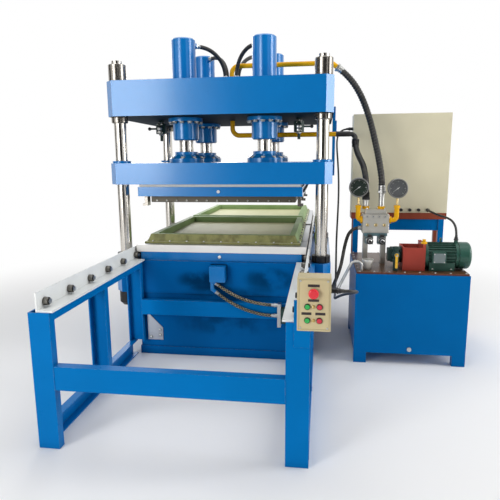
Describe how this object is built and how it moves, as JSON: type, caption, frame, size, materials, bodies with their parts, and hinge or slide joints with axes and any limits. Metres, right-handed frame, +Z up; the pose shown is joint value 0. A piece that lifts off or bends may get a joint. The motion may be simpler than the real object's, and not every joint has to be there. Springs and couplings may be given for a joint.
{
  "type": "hydraulic moulding press",
  "caption": "Column-guided hydraulic moulding press with heated plates, a roller shuttle table, an oil power unit on a tank and an electrical cabinet.",
  "frame": {"origin": "on the floor, midway between the columns of the press", "axes": "+X to the right towards the power unit, +Y to the back along the shuttle, +Z up"},
  "size_m": [2.894, 4.5454, 2.615],
  "materials": {
    "blue_paint": "semi-gloss",
    "chrome_steel": "polished",
    "bright_steel": "ground",
    "black_steel": "black oxide",
    "yellow_paint": "gloss",
    "white_board": "matt fibre board",
    "plate_steel": "machined",
    "tray_green": "satin",
    "rail_white": "satin",
    "roller_steel": "turned",
    "box_beige": "satin",
    "cabinet_grey": "textured",
    "tank_blue": "semi-gloss",
    "lid_red": "satin",
    "motor_green": "semi-gloss",
    "bracket_red": "satin",
    "cast_grey": "as cast",
    "gauge_black": "gloss",
    "hose_black": "matt",
    "hose_braid": "braided",
    "stop_red": "gloss",
    "button_green": "gloss",
    "button_red": "gloss",
    "lever_yellow": "dipped"
  },
  "bodies": {
    "frame": {"base_frame": "blue_paint", "lower_beam": "blue_paint", "crown": "blue_paint", "columns": "chrome_steel", "column_nuts": "bright_steel", "main_cylinders": "blue_paint", "header_pipes": "yellow_paint", "cap_hoses": "hose_black", "limit_switches": "blue_paint", "lower_hot_plate": "plate_steel", "front_table": "blue_paint", "rear_table": "blue_paint", "roller_rails": "rail_white", "roller_studs": "bright_steel", "rear_rollers": "roller_steel", "shuttle_cylinder": "blue_paint", "shuttle_valve": "black_steel", "control_box": "box_beige", "oil_tank": "tank_blue", "tank_lid": "lid_red", "electric_motor": "motor_green", "pump_bracket": "bracket_red", "hydraulic_pump": "cast_grey", "valve_block": "cast_grey", "solenoid_valves": "gauge_black", "pressure_gauges": "gauge_black", "ball_valve": "bright_steel", "control_cabinet": "cabinet_grey", "cabinet_stand": "lid_red", "drain_pipe": "bright_steel", "pressure_hose": "hose_black", "return_hose": "hose_black", "shuttle_hose_upper": "hose_braid", "shuttle_hose_lower": "hose_braid", "feed_hose": "hose_black", "pendant_cable": "hose_black", "motor_cable": "hose_black"},
    "platen": {"moving_platen": "blue_paint", "insulation_board": "white_board", "upper_hot_plate": "plate_steel", "upper_mould": "plate_steel", "piston_rods": "chrome_steel"},
    "shuttle": {"carriage": "rail_white", "mould_trays": "tray_green", "shuttle_rod": "chrome_steel"},
    "rotor": {"motor_rotor": "bright_steel"},
    "lever": {"valve_lever": "lever_yellow"},
    "door": {"cabinet_door": "cabinet_grey"},
    "estop_button_body": {"estop_button": "stop_red"},
    "green_button_upper_body": {"green_button_upper": "button_green"},
    "red_button_upper_body": {"red_button_upper": "button_red"},
    "green_button_lower_body": {"green_button_lower": "button_green"},
    "red_button_lower_body": {"red_button_lower": "button_red"},
    "roller_pair_1_body": {"roller_pair_1": "roller_steel"},
    "roller_pair_2_body": {"roller_pair_2": "roller_steel"},
    "roller_pair_3_body": {"roller_pair_3": "roller_steel"},
    "roller_pair_4_body": {"roller_pair_4": "roller_steel"},
    "roller_pair_5_body": {"roller_pair_5": "roller_steel"},
    "roller_pair_6_body": {"roller_pair_6": "roller_steel"}
  },
  "joints": [
    {"name": "platen_slide", "type": "slide", "parent": "frame", "child": "platen", "axis": [0, 0, 1], "range_m": [-0.263, 0.08]},
    {"name": "shuttle_slide", "type": "slide", "parent": "frame", "child": "shuttle", "axis": [0, -1, 0], "range_m": [0, 1.425]},
    {"name": "rotor_spin", "type": "hinge", "parent": "frame", "child": "rotor", "pos_m": [1.7, -0.5, 0.864], "axis": [1, 0, 0], "continuous": true},
    {"name": "lever_turn", "type": "hinge", "parent": "frame", "child": "lever", "pos_m": [1.412, -0.657, 0.882], "axis": [0, 1, 0], "range_deg": [0, 90]},
    {"name": "door_hinge", "type": "hinge", "parent": "frame", "child": "door", "pos_m": [1.962, 0.4584, 1.5825], "axis": [0, 0, -1], "range_deg": [0, 110]},
    {"name": "stop_press", "type": "slide", "parent": "frame", "child": "estop_button_body", "axis": [0, 1, 0], "range_m": [0, 0.005], "stiffness_N_per_m": 600},
    {"name": "green_button_upper_press", "type": "slide", "parent": "frame", "child": "green_button_upper_body", "axis": [0, 1, 0], "range_m": [0, 0.004], "stiffness_N_per_m": 400},
    {"name": "red_button_upper_press", "type": "slide", "parent": "frame", "child": "red_button_upper_body", "axis": [0, 1, 0], "range_m": [0, 0.004], "stiffness_N_per_m": 400},
    {"name": "green_button_lower_press", "type": "slide", "parent": "frame", "child": "green_button_lower_body", "axis": [0, 1, 0], "range_m": [0, 0.004], "stiffness_N_per_m": 400},
    {"name": "red_button_lower_press", "type": "slide", "parent": "frame", "child": "red_button_lower_body", "axis": [0, 1, 0], "range_m": [0, 0.004], "stiffness_N_per_m": 400},
    {"name": "roller_1_spin", "type": "hinge", "parent": "frame", "child": "roller_pair_1_body", "pos_m": [0, -2.11, 0.8607], "axis": [1, 0, 0], "continuous": true},
    {"name": "roller_2_spin", "type": "hinge", "parent": "frame", "child": "roller_pair_2_body", "pos_m": [0, -1.832, 0.8607], "axis": [1, 0, 0], "continuous": true},
    {"name": "roller_3_spin", "type": "hinge", "parent": "frame", "child": "roller_pair_3_body", "pos_m": [0, -1.554, 0.8607], "axis": [1, 0, 0], "continuous": true},
    {"name": "roller_4_spin", "type": "hinge", "parent": "frame", "child": "roller_pair_4_body", "pos_m": [0, -1.276, 0.8607], "axis": [1, 0, 0], "continuous": true},
    {"name": "roller_5_spin", "type": "hinge", "parent": "frame", "child": "roller_pair_5_body", "pos_m": [0, -0.998, 0.8607], "axis": [1, 0, 0], "continuous": true},
    {"name": "roller_6_spin", "type": "hinge", "parent": "frame", "child": "roller_pair_6_body", "pos_m": [0, -0.72, 0.8607], "axis": [1, 0, 0], "continuous": true}
  ]
}
